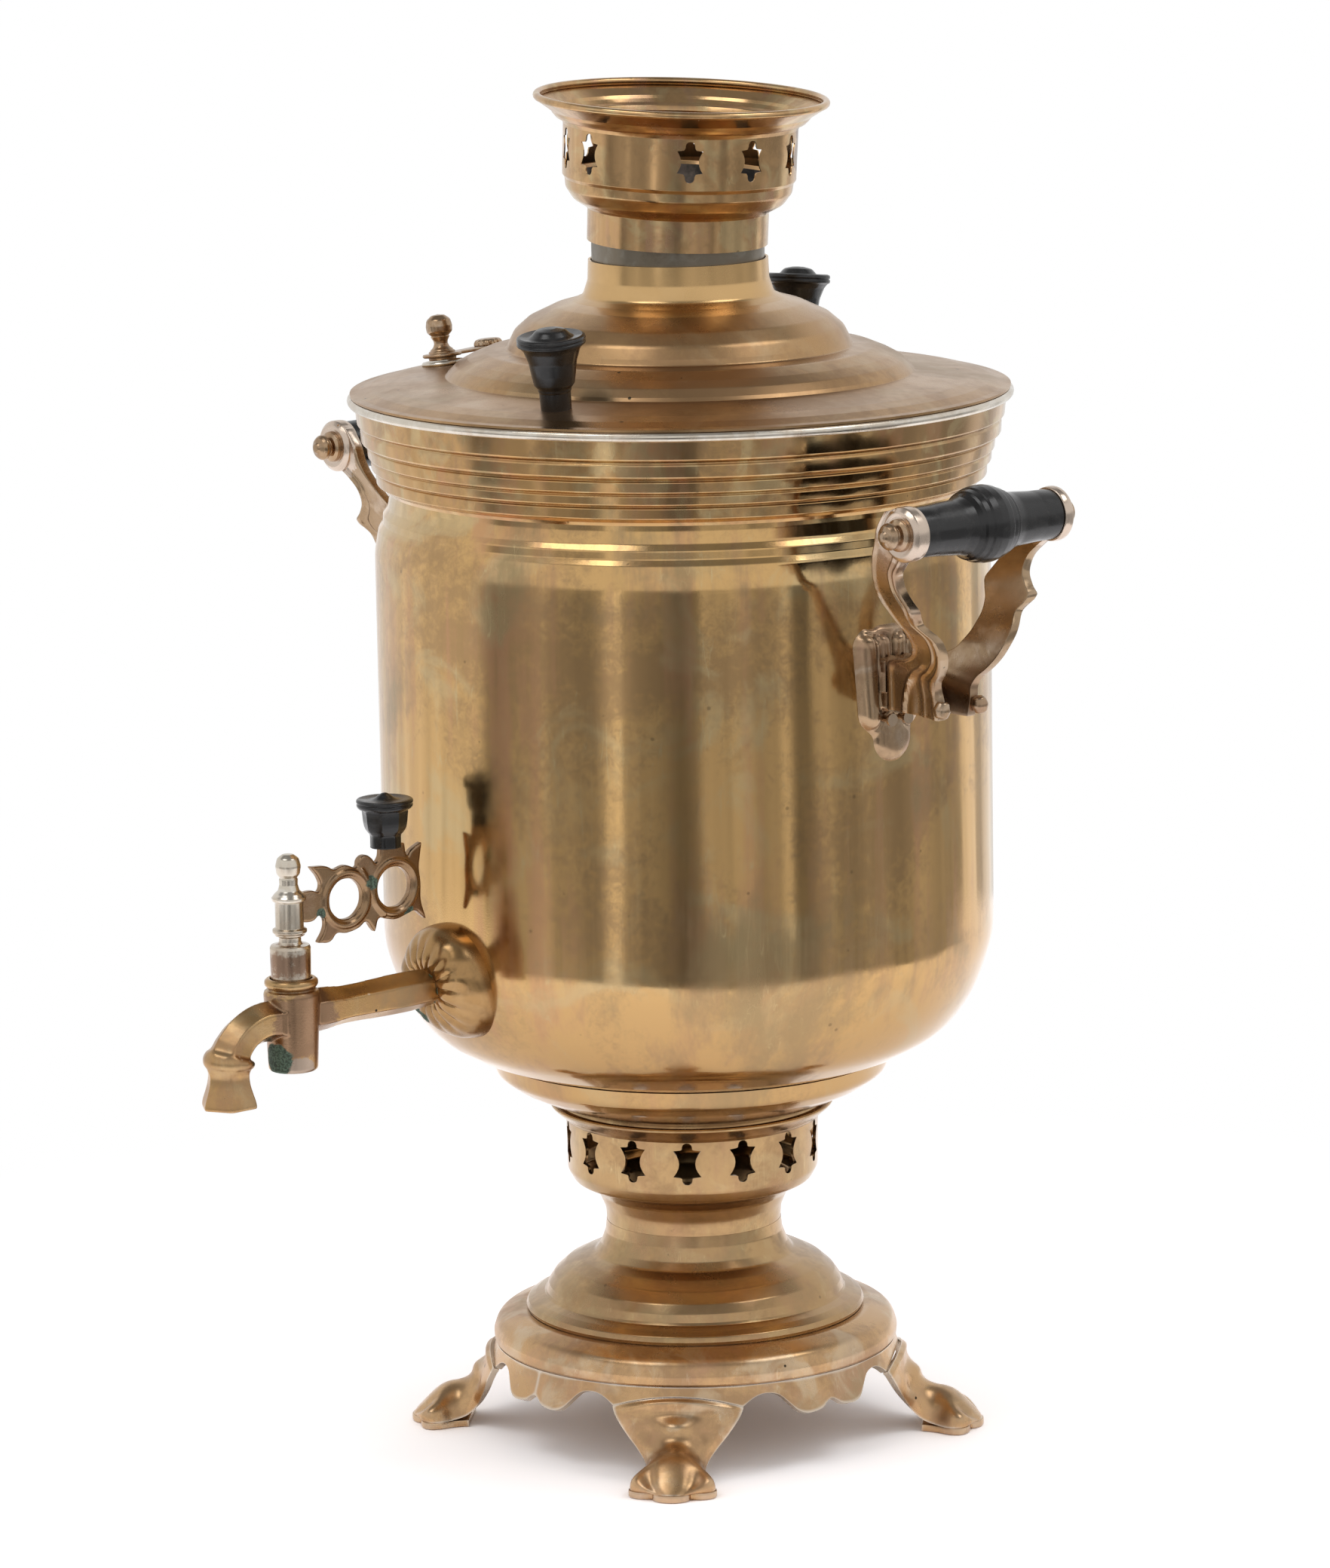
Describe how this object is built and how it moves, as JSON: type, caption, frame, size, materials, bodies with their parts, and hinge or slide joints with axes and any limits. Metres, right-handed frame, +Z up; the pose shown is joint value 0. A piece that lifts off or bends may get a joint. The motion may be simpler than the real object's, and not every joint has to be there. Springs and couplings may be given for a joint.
{
  "type": "samovar",
  "caption": "Charcoal-fired water boiler with a fire tube, plug tap, lift-off lid, pierced crown for a teapot, side handles and a footed base.",
  "frame": {"origin": "centre of the four feet on the surface that they stand on, on the vessel's axis", "axes": "+Z up along the vessel's axis; the tap points towards -Y; the two handles are at +X and -X; the feet are on the diagonals"},
  "size_m": [0.3572, 0.3452, 0.5059],
  "materials": {
    "polished_brass": "aged polish, streaked",
    "satin_brass": "dull satin",
    "copper_brass": "bare, reddish, lightly tarnished",
    "tinned_trim": "tinned, worn bright",
    "tinned_tube": "dull grey tinning",
    "iron_grate": "sooty",
    "black_bakelite": "worn gloss, dusty"
  },
  "bodies": {
    "vessel": {"vessel_wall": "polished_brass", "vessel_floor": "polished_brass", "fire_jug": "tinned_tube", "fire_grate": "iron_grate", "lower_bowl": "polished_brass", "rim_band": "polished_brass", "gallery_neck": "polished_brass", "pedestal": "polished_brass", "footed_base": "polished_brass", "tap_rosette": "copper_brass", "tap_body": "copper_brass", "handle_pad_right": "copper_brass", "bracket_right_rear": "copper_brass", "bracket_right_front": "copper_brass", "grip_right": "black_bakelite", "tie_rod_right": "copper_brass", "ball_nuts_right": "copper_brass", "pad_rivets_right": "copper_brass", "handle_pad_left": "copper_brass", "bracket_left_rear": "copper_brass", "bracket_left_front": "copper_brass", "grip_left": "black_bakelite", "tie_rod_left": "copper_brass", "ball_nuts_left": "copper_brass", "pad_rivets_left": "copper_brass"},
    "lid": {"lid_sheet": "satin_brass", "lid_bead": "tinned_trim", "lid_knob_front": "black_bakelite", "lid_knob_rear": "black_bakelite", "lid_knob_screws": "copper_brass", "vent_seat": "tinned_trim", "vent_pivot": "tinned_trim"},
    "crown": {"crown": "polished_brass"},
    "vent_cover": {"vent_cover": "tinned_trim"},
    "tap_key": {"tap_plug": "tinned_trim", "tap_key": "polished_brass", "tap_key_knob": "black_bakelite"}
  },
  "joints": [
    {"name": "lid_lift", "type": "slide", "parent": "vessel", "child": "lid", "axis": [0, 0, 1], "range_m": [0, 0.09]},
    {"name": "crown_lift", "type": "slide", "parent": "lid", "child": "crown", "axis": [0, 0, 1], "range_m": [0, 0.04]},
    {"name": "vent_swing", "type": "hinge", "parent": "lid", "child": "vent_cover", "pos_m": [-0.0988, -0.01178, 0.3998], "axis": [-0.1139, -0.0309, 0.993], "range_deg": [-110, 0]},
    {"name": "key_turn", "type": "hinge", "parent": "vessel", "child": "tap_key", "pos_m": [0, -0.185, 0.187], "axis": [0, 0, 1], "continuous": true}
  ]
}
